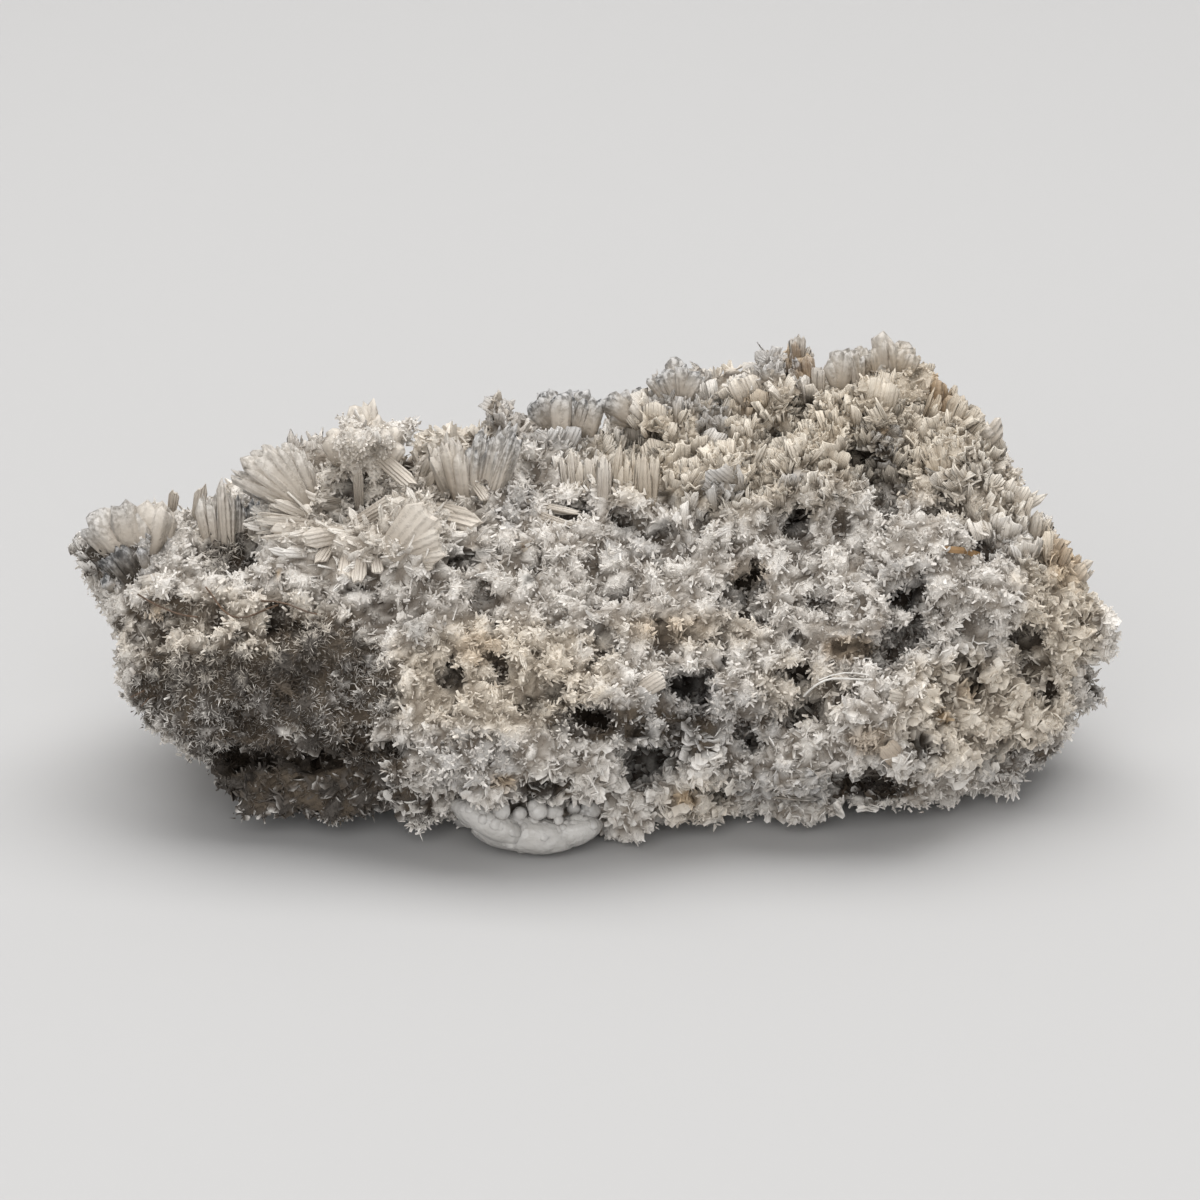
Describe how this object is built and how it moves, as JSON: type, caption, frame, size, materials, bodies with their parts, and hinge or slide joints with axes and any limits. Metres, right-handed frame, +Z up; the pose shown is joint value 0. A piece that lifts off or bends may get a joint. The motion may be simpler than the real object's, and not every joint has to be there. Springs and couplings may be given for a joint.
{
  "type": "albite cluster",
  "caption": "Mineral specimen: a porous, sugary slab of white to grey albite with fans of bladed crystals along its crest, lying on a flat cut underside.",
  "frame": {"origin": "a point on the flat underside, below the middle of the slab", "axes": "+X along the slab towards its right end as seen from the front, -Y towards the front, +Z up"},
  "size_m": [0.0783, 0.0416, 0.0338],
  "materials": {
    "albite": "sugary white to cream albite, dusted grey-brown low on the left, slightly translucent, glassy on the small crystal faces",
    "clear_albite": "white, translucent, glassy rounded foot and prisms",
    "fibre": "loose fine hairs caught on the crystals, dull"
  },
  "bodies": {
    "root": {"albite_cluster": "albite"}
  },
  "joints": []
}
